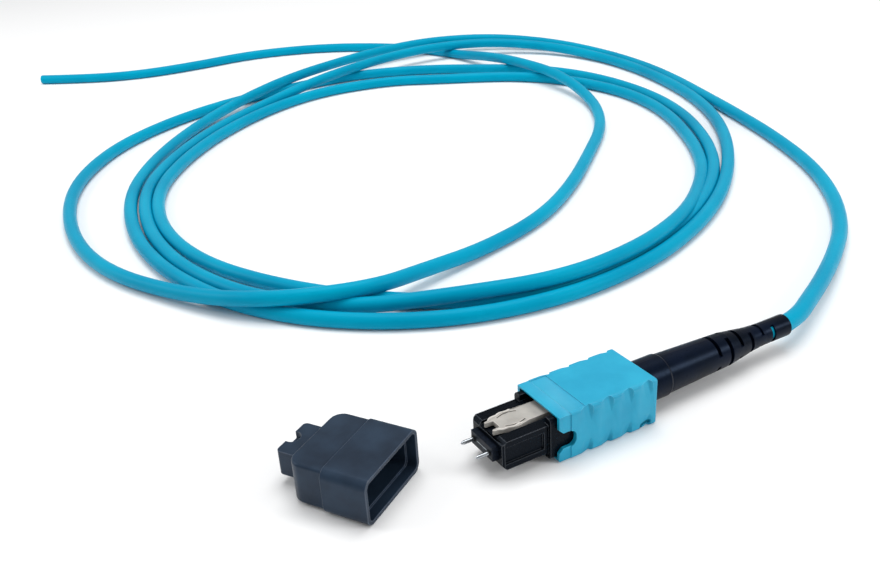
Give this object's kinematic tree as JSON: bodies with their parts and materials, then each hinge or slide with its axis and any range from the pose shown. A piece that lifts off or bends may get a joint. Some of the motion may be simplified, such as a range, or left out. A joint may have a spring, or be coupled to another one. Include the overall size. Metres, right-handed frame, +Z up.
{
  "type": "mpo fibre connector",
  "caption": "Multi-fibre push-on plug with guide pins, sliding aqua sleeve and slotted boot, on a coiled round cable, with its dust cap off.",
  "frame": {"origin": "on the floor, under the middle of the outer housing", "axes": "+Y from the mating face towards the boot and cable, +Z up, +X to the right seen from the mating face"},
  "size_m": [0.3246, 0.2197, 0.009],
  "materials": {
    "aqua_housing": "satin",
    "black_housing": "satin",
    "ferrule": "matte",
    "pin_steel": "polished",
    "clamp_steel": "brushed",
    "ferrule_sleeve": "matte",
    "fibre": "satin",
    "yarn": "matte",
    "crimp_metal": "satin",
    "boot_rubber": "satin",
    "beige_key": "satin",
    "cap_plastic": "satin",
    "spring_steel": "polished",
    "cable_jacket": "satin"
  },
  "bodies": {
    "plug": {"inner_housing": "black_housing", "spring_push": "black_housing", "yarn_sleeve": "yarn", "crimp_ring": "crimp_metal", "strain_relief_boot": "boot_rubber", "cable_in_boot": "cable_jacket", "coupling_spring_left": "spring_steel", "coupling_spring_right": "spring_steel", "main_spring": "spring_steel", "cable_lead": "cable_jacket", "cable_outer_loop": "cable_jacket", "cable_inner_loop": "cable_jacket", "cable_tail": "cable_jacket", "cable_coil": "cable_jacket", "dust_cap": "cap_plastic"},
    "sleeve": {"outer_housing": "aqua_housing"},
    "ferrule_group": {"ferrule": "ferrule", "guide_pin_left": "pin_steel", "guide_pin_right": "pin_steel", "pin_clamp": "clamp_steel", "ferrule_boot": "ferrule_sleeve", "fibre_ribbon": "fibre"},
    "key_top": {"polarity_key_top": "beige_key"},
    "key_bottom": {"polarity_key_bottom": "beige_key"}
  },
  "joints": [
    {"name": "sleeve_slide", "type": "slide", "parent": "plug", "child": "sleeve", "axis": [0, 1, 0], "range_m": [0, 0.002], "stiffness_N_per_m": 1500, "springref_m": -0.001, "deforming": ["coupling_spring_left", "coupling_spring_right"]},
    {"name": "ferrule_slide", "type": "slide", "parent": "plug", "child": "ferrule_group", "axis": [0, 1, 0], "range_m": [0, 0.0008], "stiffness_N_per_m": 6000, "springref_m": -0.0015, "deforming": ["main_spring"]},
    {"name": "key_top_slide", "type": "slide", "parent": "plug", "child": "key_top", "axis": [0, 1, 0], "range_m": [0, 0.002]},
    {"name": "key_bottom_slide", "type": "slide", "parent": "plug", "child": "key_bottom", "axis": [0, -1, 0], "range_m": [0, 0.002]}
  ]
}
